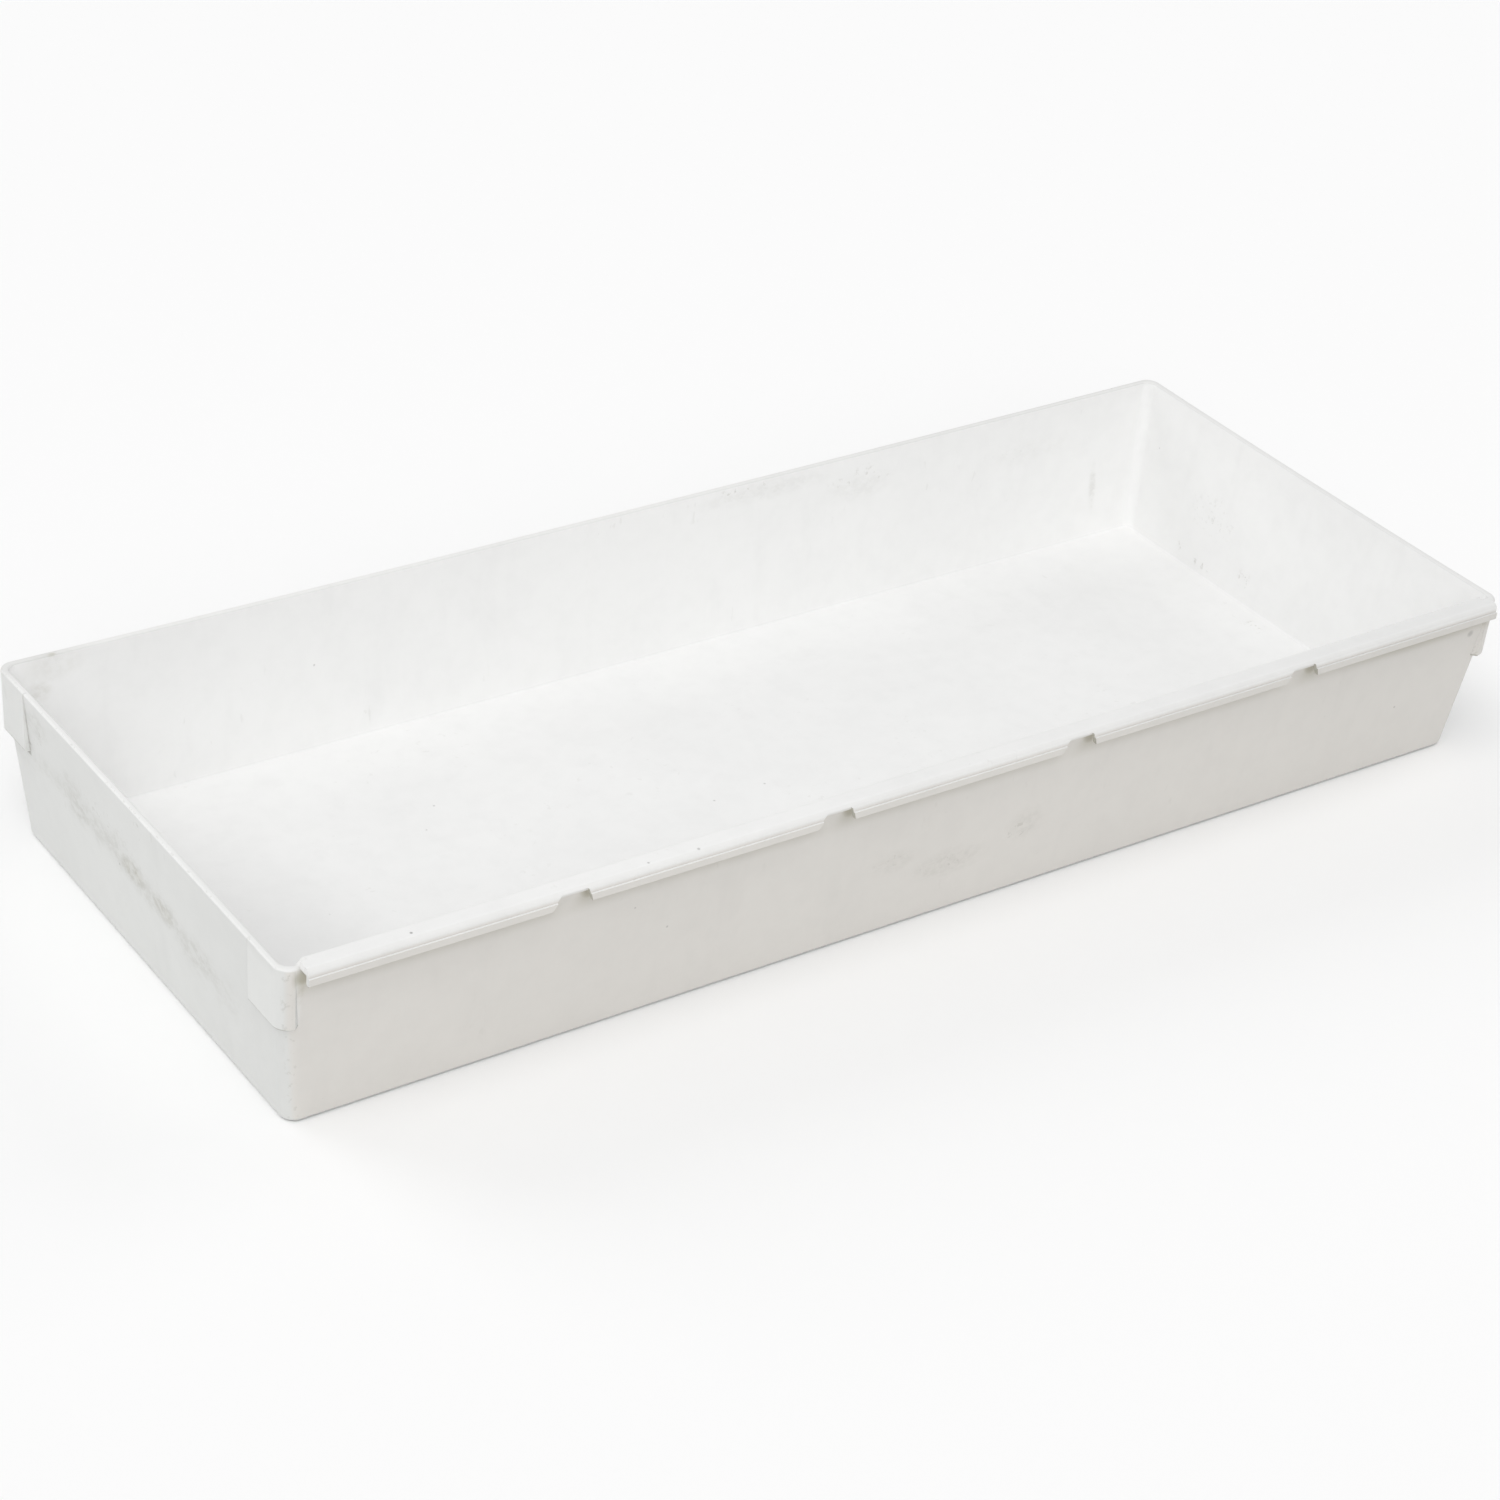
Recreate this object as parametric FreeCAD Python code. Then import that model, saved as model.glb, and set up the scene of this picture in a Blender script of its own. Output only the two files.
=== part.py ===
import FreeCAD, Part
import math
import os

# An interlocking drawer organizer tray: one white injection moulding, an open box with drafted
# walls, a spacer pad on each corner and a hooked lip along the front wall that clips over the
# rim of the next tray. Millimetres, +Z up. The origin is the centre of the resting face.
# +X runs along the tray and -Y is the side with the lip.

# ---- driving dimensions ------------------------------------------------------------------------

MODULE = 76.2                   # drawer grid that the trays, and the lip's gaps, repeat on
LENGTH = 5 * MODULE             # outside length over the rims
WIDTH = 2 * MODULE              # outside width over the rims, without the lip
RIM_HEIGHT = 48.4
DRAFT_INSET = 5.1               # how far every wall leans in between the rim and the base
WALL = 1.8
FLOOR = 1.8

CORNER_RADIUS = 4.0             # upright corners, outside
CORNER_RADIUS_INSIDE = 3.2
BASE_RADIUS = 1.5               # outside edge round the base
FLOOR_FILLET = 1.0              # inside, where the walls meet the floor
RIM_ROUND = 0.6                 # both edges of the rim

PAD_BOTTOM = 31.0               # corner spacer pads: height of their lower edge
PAD_LENGTH = 16.0               # along the end walls and the back wall
PAD_LENGTH_FRONT = 4.2          # round the corner on the lip side
PAD_INSET = 0.36                # how far a pad leans in between the rim and its lower edge
PAD_EDGE_ROUND = 0.35

LIP_TOP = 50.4
LIP_REACH = 5.2                 # how far the lip stands out of the front rim
LIP_START = 5.0                 # from the left end of the tray to the lip
LIP_STOP = 6.0                  # from the lip to the right end
LIP_INNER_ROUND = 0.7
LIP_OUTER_ROUND = 1.35
LIP_RAMP = 1.8                  # length over which the rim climbs to the lip
HOOK_BOTTOM = 45.9
HOOK_THICKNESS = 1.4
HOOK_LEDGE_HEIGHT = 48.0        # a small ledge along the hook, just below the rounded edge
HOOK_LEDGE = 0.5
HOOK_EDGE_ROUND = 0.35

GAP_COUNT = 4                   # gaps in the hook, one at each module line
GAP_START = 4.2                 # from the left end of the tray to where the gaps' grid starts
GAP_TOP = 49.6
GAP_TOP_WIDTH = 7.6
GAP_RIGHT_SLANT = 1.0           # how far each flank leans out towards the bottom
GAP_LEFT_SLANT = 2.6
GAP_TOP_ROUND = 0.9
GAP_FOOT_ROUND = 1.6

GATE_OFFSET = MODULE            # two moulding gates: shallow dishes under the floor, each with a stub
GATE_RADIUS = 4.5
GATE_DEPTH = 0.5
GATE_STUB_RADIUS = 1.2
GATE_STUB_HEIGHT = 0.3

SPARE = 5.0                     # how far cutting tools run past what they cut

# ---- worked-out places -------------------------------------------------------------------------

half_length = LENGTH / 2
half_width = WIDTH / 2
draft_slope = DRAFT_INSET / RIM_HEIGHT
pad_slope = PAD_INSET / (RIM_HEIGHT - PAD_BOTTOM)
floor_half_length = half_length - DRAFT_INSET + draft_slope * FLOOR - WALL - FLOOR_FILLET
floor_half_width = half_width - DRAFT_INSET + draft_slope * FLOOR - WALL - FLOOR_FILLET
lip_x0 = -half_length + LIP_START
lip_x1 = half_length - LIP_STOP


# ---- helpers -----------------------------------------------------------------------------------

def block(x0, x1, y0, y1, z0, z1):
    """A box between two corners."""
    return Part.makeBox(x1 - x0, y1 - y0, z1 - z0, FreeCAD.Vector(x0, y0, z0))


def rounded_outline(points, radii):
    """A closed wire through points, each corner rounded to the radius given for it (0 is sharp)."""
    entries = []
    count = len(points)
    for i, point in enumerate(points):
        back = (points[i - 1] - point).normalize()
        ahead = (points[(i + 1) % count] - point).normalize()
        half_angle = back.getAngle(ahead) / 2
        cut = radii[i] / math.tan(half_angle)
        bisector = (back + ahead).normalize()
        middle = point + bisector * (radii[i] / math.sin(half_angle) - radii[i])
        entries.append((point + back * cut, middle, point + ahead * cut))
    edges = []
    for i, (start, middle, stop) in enumerate(entries):
        if radii[i] > 0:
            edges.append(Part.Arc(start, middle, stop).toShape())
        following = entries[(i + 1) % count][0]
        edges.append(Part.LineSegment(stop, following).toShape())
    return Part.Wire(edges)


def rounded_rectangle(half_x, half_y, radius, z):
    """A closed horizontal wire centred on the origin."""
    corners = [(-half_x, -half_y), (half_x, -half_y), (half_x, half_y), (-half_x, half_y)]
    points = [FreeCAD.Vector(x, y, z) for x, y in corners]
    return rounded_outline(points, [radius] * len(points))


def drafted_block(z0, z1, inset, radius, slope):
    """A solid whose sides lean in below the rim, inset from the rim's outside size."""
    wires = []
    for z in (z0, z1):
        lean = inset + slope * (RIM_HEIGHT - z)
        wires.append(rounded_rectangle(half_length - lean, half_width - lean, radius, z))
    return Part.makeLoft(wires, True, True)


def edges_at_height(solid, z):
    """Every edge of a solid that lies flat at height z."""
    flat = 1e-4
    return [e for e in solid.Edges if abs(e.BoundBox.ZMin - z) < flat and abs(e.BoundBox.ZMax - z) < flat]


def bar_along_x(outline, radii, x0, x1):
    """A bar with a constant section, given as (outward from the front rim, height) pairs."""
    points = [FreeCAD.Vector(x0, -half_width - out, z) for out, z in outline]
    face = Part.Face(rounded_outline(points, radii))
    return face.extrude(FreeCAD.Vector(x1 - x0, 0, 0))


# ---- the box -----------------------------------------------------------------------------------

def outer_form():
    """The outside of the tray as a solid block, with the base edge rounded."""
    solid = drafted_block(0, RIM_HEIGHT, 0, CORNER_RADIUS, draft_slope)
    return solid.makeFillet(BASE_RADIUS, edges_at_height(solid, 0))


def cavity():
    """The space inside the tray, run past the rim, with the floor fillet on its lower edge."""
    solid = drafted_block(FLOOR, RIM_HEIGHT + SPARE, WALL, CORNER_RADIUS_INSIDE, draft_slope)
    return solid.makeFillet(FLOOR_FILLET, edges_at_height(solid, FLOOR))


def inner_rim_edges(shell):
    """The rim's inside edges, all the way round."""
    reach = half_length - WALL / 2
    return [e for e in edges_at_height(shell, RIM_HEIGHT)
            if abs(e.CenterOfMass.x) < reach and abs(e.CenterOfMass.y) < half_width - WALL / 2]


def floor_panel():
    """The flat middle of the floor, with the moulding gates' dishes in its underside."""
    plate = block(-floor_half_length, floor_half_length, -floor_half_width, floor_half_width, 0, FLOOR)
    for x in (-GATE_OFFSET, GATE_OFFSET):
        dish = Part.makeCylinder(GATE_RADIUS, GATE_DEPTH, FreeCAD.Vector(x, 0, 0))
        stub_base = FreeCAD.Vector(x, 0, GATE_DEPTH - GATE_STUB_HEIGHT)
        stub = Part.makeCylinder(GATE_STUB_RADIUS, GATE_STUB_HEIGHT, stub_base)
        plate = plate.cut(dish).fuse(stub)
    return plate


def wall_strip(shell, x0, x1, y0, y1):
    """One straight wall, from its share of the floor's edge up to the rim."""
    return shell.common(block(x0, x1, y0, y1, -SPARE, RIM_HEIGHT + SPARE))


def long_rim_edges(wall, outside):
    """The straight edges along a wall's rim: both of them, or only the outside one."""
    found = [e for e in edges_at_height(wall, RIM_HEIGHT) if e.Length > WIDTH / 2]
    found.sort(key=lambda e: max(abs(e.CenterOfMass.x) / half_length, abs(e.CenterOfMass.y) / half_width))
    return found[-1:] if outside else found


def pad_form():
    """A block as large as the corner pads stand, with its top and lower edges rounded."""
    solid = drafted_block(PAD_BOTTOM, RIM_HEIGHT, 0, CORNER_RADIUS, pad_slope)
    solid = solid.makeFillet(RIM_ROUND, edges_at_height(solid, RIM_HEIGHT))
    return solid.makeFillet(PAD_EDGE_ROUND, edges_at_height(solid, PAD_BOTTOM))


def corner_block(side_x, side_y, along_x, along_y):
    """A tall box over one corner, reaching along_x and along_y in from the rim."""
    x_in, x_out = side_x * (half_length - along_x), side_x * (half_length + SPARE)
    y_in, y_out = side_y * (half_width - along_y), side_y * (half_width + SPARE)
    return block(min(x_in, x_out), max(x_in, x_out), min(y_in, y_out), max(y_in, y_out), -SPARE, RIM_HEIGHT + SPARE)


def corner(side_x, side_y, plain, rounded, floor, pads):
    """One upright corner of the box. Under the lip the rim stays square, elsewhere it is rounded."""
    region = corner_block(side_x, side_y, PAD_LENGTH, PAD_LENGTH)
    if side_y > 0:
        body = rounded.common(region)
    else:
        lip_zone = block(lip_x0, lip_x1, -half_width - SPARE, 0, -SPARE, RIM_HEIGHT + SPARE)
        body = rounded.common(region).cut(lip_zone).fuse(plain.common(region).common(lip_zone))
    below_pads = block(-LENGTH, LENGTH, -WIDTH, WIDTH, -SPARE, PAD_BOTTOM + WALL)
    trimmed = body.common(pads.fuse(below_pads))
    return trimmed.cut(floor).removeSplitter()


def corner_pad(side_x, side_y, pads, outer):
    """The wedge that brings one corner out to the rim's full size, so that trays sit square."""
    along_x = PAD_LENGTH if side_y > 0 else PAD_LENGTH_FRONT
    return pads.common(corner_block(side_x, side_y, along_x, PAD_LENGTH)).cut(outer)


# ---- the lip -----------------------------------------------------------------------------------

def gap_cutters(z_low):
    """One cutter for each gap in the hook: a trapezium with a long lead-in on its left foot."""
    cutters = []
    foot = 4 * GAP_FOOT_ROUND
    for i in range(1, GAP_COUNT + 1):
        right = -half_length + GAP_START + i * MODULE
        right_top = right - GAP_RIGHT_SLANT
        left_top = right_top - GAP_TOP_WIDTH
        left = left_top - GAP_LEFT_SLANT
        y = -half_width - LIP_REACH - SPARE
        path = [(right, HOOK_BOTTOM), (right_top, GAP_TOP), (left_top, GAP_TOP), (left, HOOK_BOTTOM),
                (left - foot, HOOK_BOTTOM), (left - foot, z_low), (right, z_low)]
        radii = [0, GAP_TOP_ROUND, GAP_TOP_ROUND, GAP_FOOT_ROUND, 0, 0, 0]
        points = [FreeCAD.Vector(x, y, z) for x, z in path]
        face = Part.Face(rounded_outline(points, radii))
        depth = SPARE + HOOK_THICKNESS
        cutters.append(face.extrude(FreeCAD.Vector(0, depth, 0)))
    return cutters


def lip_rail(cutters):
    """The lip's flat top: it stands on the front rim, overhangs it and is rounded along its edge."""
    edge = LIP_REACH - HOOK_LEDGE
    inner_top = -WALL + draft_slope * (LIP_TOP - RIM_HEIGHT)
    outline = [(-WALL, RIM_HEIGHT), (inner_top, LIP_TOP), (edge, LIP_TOP), (edge, RIM_HEIGHT)]
    rail = bar_along_x(outline, [0, LIP_INNER_ROUND, LIP_OUTER_ROUND, 0], lip_x0, lip_x1)
    for cutter in cutters:
        rail = rail.cut(cutter)
    for x, direction in ((lip_x0, 1), (lip_x1, -1)):
        ramp = [(x, RIM_HEIGHT), (x, LIP_TOP + SPARE), (x + direction * LIP_RAMP, LIP_TOP + SPARE),
                (x + direction * LIP_RAMP, LIP_TOP)]
        points = [FreeCAD.Vector(px, -half_width, z) for px, z in ramp]
        wedge = Part.Face(Part.makePolygon(points + points[:1])).extrude(FreeCAD.Vector(0, 2 * WALL, 0))
        rail = rail.cut(wedge)
    return rail


def hook_segments(cutters):
    """The hook that hangs from the rail's edge, in the lengths that the gaps leave, left to right."""
    edge = LIP_REACH - HOOK_LEDGE
    inside = LIP_REACH - HOOK_THICKNESS
    outline = [(inside, HOOK_BOTTOM), (LIP_REACH, HOOK_BOTTOM), (LIP_REACH, HOOK_LEDGE_HEIGHT),
               (edge, HOOK_LEDGE_HEIGHT), (edge, RIM_HEIGHT), (inside, RIM_HEIGHT)]
    radii = [HOOK_EDGE_ROUND, HOOK_EDGE_ROUND, HOOK_EDGE_ROUND / 2, 0, 0, 0]
    bar = bar_along_x(outline, radii, lip_x0, lip_x1)
    for cutter in cutters:
        bar = bar.cut(cutter)
    return sorted(bar.Solids, key=lambda s: s.CenterOfMass.x)


# ---- assembly ----------------------------------------------------------------------------------

def build():
    """Every node of the tray, by name."""
    outer = outer_form()
    plain = outer.cut(cavity())
    rounded = plain.makeFillet(RIM_ROUND, inner_rim_edges(plain))
    floor = floor_panel()
    pads = pad_form()
    straight_x = half_length - PAD_LENGTH
    straight_y = half_width - PAD_LENGTH

    nodes = {"floor_panel": floor}
    front = wall_strip(plain, -straight_x, straight_x, -WIDTH, -floor_half_width)
    back = wall_strip(plain, -straight_x, straight_x, floor_half_width, WIDTH)
    left = wall_strip(plain, -LENGTH, -floor_half_length, -straight_y, straight_y)
    right = wall_strip(plain, floor_half_length, LENGTH, -straight_y, straight_y)
    nodes["front_wall"] = front
    nodes["back_wall"] = back.makeFillet(RIM_ROUND, long_rim_edges(back, False))
    nodes["left_end_wall"] = left.makeFillet(RIM_ROUND, long_rim_edges(left, False))
    nodes["right_end_wall"] = right.makeFillet(RIM_ROUND, long_rim_edges(right, False))

    for side_y, depth_name in ((-1, "front"), (1, "back")):
        for side_x, hand in ((-1, "left"), (1, "right")):
            place = depth_name + "_" + hand
            nodes[place + "_corner"] = corner(side_x, side_y, plain, rounded, floor, pads)
            nodes[place + "_spacer_pad"] = corner_pad(side_x, side_y, pads, outer)

    cutters = gap_cutters(HOOK_BOTTOM - SPARE)
    nodes["lip_rail"] = lip_rail(cutters)
    for i, segment in enumerate(hook_segments(cutters)):
        nodes["lip_hook_%d" % (i + 1)] = segment
    return nodes


def main():
    os.makedirs("parts", exist_ok=True)
    for name, shape in build().items():
        solids = shape.Solids
        print("%-24s solids %d  valid %s  volume %.1f mm3" % (name, len(solids), shape.isValid(), shape.Volume))
        solids[0].exportStep(os.path.join("parts", name + ".step"))


main()
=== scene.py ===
import math

import bmesh
import bpy
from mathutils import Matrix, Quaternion, Vector


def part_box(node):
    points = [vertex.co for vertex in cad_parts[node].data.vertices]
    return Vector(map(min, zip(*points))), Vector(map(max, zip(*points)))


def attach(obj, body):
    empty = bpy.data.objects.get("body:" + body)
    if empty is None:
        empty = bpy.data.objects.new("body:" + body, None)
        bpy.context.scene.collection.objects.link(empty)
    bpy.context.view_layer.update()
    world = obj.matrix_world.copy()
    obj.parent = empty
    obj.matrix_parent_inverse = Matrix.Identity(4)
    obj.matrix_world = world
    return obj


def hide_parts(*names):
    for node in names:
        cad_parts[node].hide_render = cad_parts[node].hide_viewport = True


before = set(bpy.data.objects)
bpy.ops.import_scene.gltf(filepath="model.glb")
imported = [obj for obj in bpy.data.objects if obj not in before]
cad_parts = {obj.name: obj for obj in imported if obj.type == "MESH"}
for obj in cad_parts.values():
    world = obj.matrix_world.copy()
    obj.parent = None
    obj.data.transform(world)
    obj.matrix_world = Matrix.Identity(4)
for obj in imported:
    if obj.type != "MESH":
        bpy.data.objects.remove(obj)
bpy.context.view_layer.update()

# A white interlocking drawer tray, one injection moulding. Every CAD node is replaced by a finer
# mesh of the same solid, with the moulding's slight bows, and all of them share one procedural
# plastic. Shapes are worked out in millimetres in the row frame and stored in metres.

MM = 0.001
MODULE = 76.2                       # the drawer grid that the tray's rims fill: 5 by 2 squares
HALF_LENGTH = 2.5 * MODULE
HALF_WIDTH = MODULE


def node_box(name):
    """Lowest and highest corner of a CAD node, in millimetres."""
    low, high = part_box(name)
    return [c / MM for c in low], [c / MM for c in high]


# ---- sizes read from the frame -----------------------------------------------------------------

_, floor_high = node_box("floor_panel")
_, back_high = node_box("back_wall")
_, right_high = node_box("right_end_wall")
pad_low, _ = node_box("back_right_spacer_pad")
rail_low, rail_high = node_box("lip_rail")
hook_low, _ = node_box("lip_hook_1")

RIM = back_high[2]
FLOOR_X = floor_high[0]
FLOOR_Y = floor_high[1]
FLOOR_TOP = floor_high[2]
CORNER_X = back_high[0]             # where the straight walls stop and the corners begin
CORNER_Y = right_high[1]
PAD_BOTTOM = pad_low[2]
LIP_X0 = rail_low[0]
LIP_X1 = rail_high[0]
LIP_TOP = rail_high[2]
LIP_BOX_REACH = -hook_low[1] - HALF_WIDTH
HOOK_BOTTOM = hook_low[2]

# ---- the moulding's other sizes, mm ------------------------------------------------------------

WALL = 1.8
DRAFT_INSET = 5.1                   # how far the walls lean in between rim and base
DRAFT = math.atan(DRAFT_INSET / RIM)
CORNER_RADIUS = 4.0
CORNER_RADIUS_INSIDE = 3.2
BASE_RADIUS = 1.5
FLOOR_FILLET = 1.0
RIM_ROUND = 0.6
PAD_EDGE_ROUND = 0.35
PAD_INSET = 0.36                    # how far a pad leans in between the rim and its lower edge
PAD_DRAFT = math.atan(PAD_INSET / (RIM - PAD_BOTTOM))

BOW_FRONT = -0.6                    # how far the middle of each rim has moved, along Y or X
BOW_BACK = -1.0
BOW_RIGHT = -0.7
BOW_LEFT = 0.3
BOW_POWER = 1.2                     # how the bow grows from the base to the rim
BOW_END_START = 0.9                 # share of the length past which the end walls' bow sets in

LIP_REACH = LIP_BOX_REACH + BOW_FRONT
LIP_LEDGE = 0.5
LIP_LEDGE_HEIGHT = 48.0
LIP_INNER_ROUND = 0.7
LIP_OUTER_ROUND = 1.35
LIP_THICKNESS = 1.4
LIP_FOOT_ROUND = 0.35
LIP_RAMP = 1.8
LIP_EDGE_ROUND = 0.14
RAMP_FOOT_ROUND = 0.8
RAMP_HEAD_ROUND = 1.2
GAP_COUNT = 4
GAP_START = 4.2                     # from the left end to where the gaps' grid starts
GAP_TOP = 49.6
GAP_TOP_WIDTH = 7.6
GAP_RIGHT_SLANT = 1.0
GAP_LEFT_SLANT = 2.6
GAP_TOP_ROUND = 0.9
GAP_FOOT_ROUND = 1.6

GATE_OFFSET = MODULE
GATE_RADIUS = 4.5
GATE_DEPTH = 0.5
GATE_STUB_RADIUS = 1.2
GATE_STUB_HEIGHT = 0.3

# ---- fineness of the meshes --------------------------------------------------------------------

STATION = 3.0                       # mm between the sections along a wall or the lip
CORNER_STEPS = 12
RIM_STEPS = 6
BASE_STEPS = 6
FILLET_STEPS = 8
FACE_ROWS = 10                      # rows up a wall's face
PAD_STEPS = 4
PAD_ROWS = 6
END_STEPS = 5                       # from a corner's round to the straight wall
PATH_ROUND_STEPS = 6
SHARP = math.radians(38)
LIP_SHARP = math.radians(50)        # edges of the lip that are rounded off
SPARE = 5.0                         # how far a cutter reaches past what it cuts
HAIR = 0.01                         # sets apart what would fall together
WELD = 2e-6                         # metres, as are the next two
WELD_CUTS = 5e-6
TINY = 1e-7


# ---- shape helpers -----------------------------------------------------------------------------

def arc(centre, radius, start, stop, steps):
    """Points on an arc in (outward, height), angles from outward towards up, in radians."""
    angles = [start + (stop - start) * i / steps for i in range(steps + 1)]
    return [(centre[0] + radius * math.cos(a), centre[1] + radius * math.sin(a)) for a in angles]


def between(a, b, steps):
    """Points strictly between two points."""
    return [tuple(p + (q - p) * i / steps for p, q in zip(a, b)) for i in range(1, steps)]


def wall_out(z):
    """Outward place of the wall's outside face at a height; 0 is the nominal rim."""
    return -DRAFT_INSET * (1 - z / RIM)


def pad_out(z):
    """Outward place of a spacer pad's outside face at a height."""
    return -PAD_INSET * (RIM - z) / (RIM - PAD_BOTTOM)


def wall_depth(point):
    """How far a point stands out of the tray's nominal outside face; it is negative in the wall."""
    x, y, z = point
    over_x = abs(x) - HALF_LENGTH - wall_out(z) + CORNER_RADIUS
    over_y = abs(y) - HALF_WIDTH - wall_out(z) + CORNER_RADIUS
    if over_x > 0 and over_y > 0:
        return math.hypot(over_x, over_y) - CORNER_RADIUS
    return max(over_x, over_y) - CORNER_RADIUS


def gap_lines():
    """Where the gaps' right-hand corners stand along the lip."""
    return [GAP_START - HALF_LENGTH + i * MODULE for i in range(1, GAP_COUNT + 1)]


def ease(value):
    """Smooth step from 0 to 1."""
    value = min(max(value, 0.0), 1.0)
    return value * value * (3 - 2 * value)


def bow(point):
    """The moulding's warp: the long rims lean one way in the middle, the end rims draw in."""
    x, y, z = point
    grow = max(z / RIM, 0.0) ** BOW_POWER
    along_x = max(0.0, 1 - (x / HALF_LENGTH) ** 2)
    along_y = max(0.0, 1 - (y / HALF_WIDTH) ** 2)
    side = ease((abs(y) - FLOOR_Y / 2) / (FLOOR_Y / 2)) * (BOW_BACK if y > 0 else BOW_FRONT)
    start = CORNER_X * BOW_END_START
    end = ease((abs(x) - start) / (CORNER_X - start)) * (BOW_RIGHT if x > 0 else BOW_LEFT)
    return x + end * along_y * grow, y + side * along_x * grow, z


def grid_faces(rows, row_length, closed):
    """Quads between consecutive rows of vertices."""
    faces = []
    for r in range(rows - 1):
        for i in range(row_length if closed else row_length - 1):
            j = (i + 1) % row_length
            a, b = r * row_length, (r + 1) * row_length
            faces.append((a + i, a + j, b + j, b + i))
    return faces


def make_mesh(name, points, faces):
    """A clean closed mesh, in metres, from millimetre points; coincident points are merged."""
    mesh = bpy.data.meshes.new(name)
    mesh.from_pydata([[c * MM for c in p] for p in points], [], faces)
    bm = bmesh.new()
    bm.from_mesh(mesh)
    bmesh.ops.remove_doubles(bm, verts=bm.verts, dist=WELD)
    bmesh.ops.dissolve_degenerate(bm, edges=bm.edges, dist=TINY)
    bmesh.ops.recalc_face_normals(bm, faces=bm.faces)
    bm.to_mesh(mesh)
    bm.free()
    return mesh


def sweep(sections):
    """Vertices and faces of a solid that runs through closed sections and is capped at both ends."""
    count = len(sections[0])
    points = [p for section in sections for p in section]
    faces = grid_faces(len(sections), count, True)
    last = (len(sections) - 1) * count
    faces.append(tuple(range(count)))
    faces.append(tuple(range(last, last + count)))
    return points, faces


def lathe(centre, profile, steps):
    """A closed solid of revolution about a vertical axis; the profile starts and ends on it."""
    points, faces = [], []
    for s in range(steps):
        angle = 2 * math.pi * s / steps
        across, along = math.cos(angle), math.sin(angle)
        points += [(centre[0] + r * across, centre[1] + r * along, z) for r, z in profile]
    n = len(profile)
    for s in range(steps):
        a, b = s * n, (s + 1) % steps * n
        for i in range(n - 1):
            faces.append((a + i, a + i + 1, b + i + 1, b + i))
    return points, faces


def prism(path, y0, y1):
    """A closed solid: a path of (x, z) points carried from y0 to y1."""
    return sweep([[(x, y, z) for x, z in path] for y in (y0, y1)])


def rounded_path(corners):
    """A closed path of (x, z) points; each corner is (x, z, radius)."""
    path = []
    count = len(corners)
    for i, (x, z, radius) in enumerate(corners):
        here = Vector((x, z))
        if radius == 0:
            path.append((x, z))
            continue
        back = (Vector(corners[i - 1][:2]) - here).normalized()
        ahead = (Vector(corners[(i + 1) % count][:2]) - here).normalized()
        half = back.angle(ahead) / 2
        middle = here + (back + ahead).normalized() * (radius / math.sin(half))
        start = here + back * (radius / math.tan(half)) - middle
        stop = here + ahead * (radius / math.tan(half)) - middle
        for k in range(PATH_ROUND_STEPS + 1):
            spoke = start.lerp(stop, k / PATH_ROUND_STEPS).normalized() * radius
            path.append(tuple(middle + spoke))
    return path


def cut(mesh, cutters):
    """A mesh with closed cutter solids, each (points, faces), taken away from it."""
    body = bpy.data.objects.new("body", mesh)
    bpy.context.collection.objects.link(body)
    tools = []
    for points, faces in cutters:
        tool = bpy.data.objects.new("tool", make_mesh("tool", points, faces))
        bpy.context.collection.objects.link(tool)
        modifier = body.modifiers.new("cut", "BOOLEAN")
        modifier.operation = "DIFFERENCE"
        modifier.solver = "EXACT"
        modifier.object = tool
        tools.append(tool)
    graph = bpy.context.evaluated_depsgraph_get()
    result = bpy.data.meshes.new_from_object(body.evaluated_get(graph))
    for thing in [body] + tools:
        bpy.data.objects.remove(thing)
    return result


def warp(mesh):
    """Applies the moulding's bow to a mesh, whose vertices first note their depth in the wall."""
    depth = mesh.attributes.new("wall_depth", "FLOAT", "POINT")
    for vertex, note in zip(mesh.vertices, depth.data):
        point = [c / MM for c in vertex.co]
        note.value = wall_depth(point)
        vertex.co = Vector(bow(point)) * MM


def finish_piece(name, mesh, node):
    """Turns a mesh into the visible piece that stands for one CAD node."""
    mesh.name = name
    warp(mesh)
    piece = bpy.data.objects.new(name, mesh)
    bpy.context.collection.objects.link(piece)
    for polygon in mesh.polygons:
        polygon.use_smooth = True
    mesh.set_sharp_from_angle(angle=SHARP)
    weigh = piece.modifiers.new("even_normals", "WEIGHTED_NORMAL")
    weigh.keep_sharp = True
    mesh.materials.clear()
    mesh.materials.append(plastic)
    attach(piece, "root")
    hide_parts(node)
    return piece


# ---- sections of the box -----------------------------------------------------------------------

def outer_rim(kind):
    """The rim's outside edge, from the wall's face round to the rim's top."""
    if kind == "lip":
        return [(0.0, RIM)] * (RIM_STEPS + 1)
    if kind == "open":
        z = RIM - RIM_ROUND
        centre = (wall_out(z) - RIM_ROUND / math.cos(DRAFT), z)
        return arc(centre, RIM_ROUND, -DRAFT, math.pi / 2, RIM_STEPS)
    return arc(pad_rim_centre(), RIM_ROUND, pad_meeting(), math.pi / 2, RIM_STEPS)


def pad_rim_centre():
    """Centre of the rounded edge along the top of a pad, as (outward, height)."""
    z = RIM - RIM_ROUND
    return pad_out(z) - RIM_ROUND / math.cos(PAD_DRAFT), z


def pad_meeting():
    """Angle on the pad's rounded top edge at which it meets the wall's face."""
    out, z = pad_rim_centre()
    low, high = 0.0, math.pi / 2
    for _ in range(40):
        angle = (low + high) / 2
        if out + RIM_ROUND * math.cos(angle) > wall_out(z + RIM_ROUND * math.sin(angle)):
            low = angle
        else:
            high = angle
    return low


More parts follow.
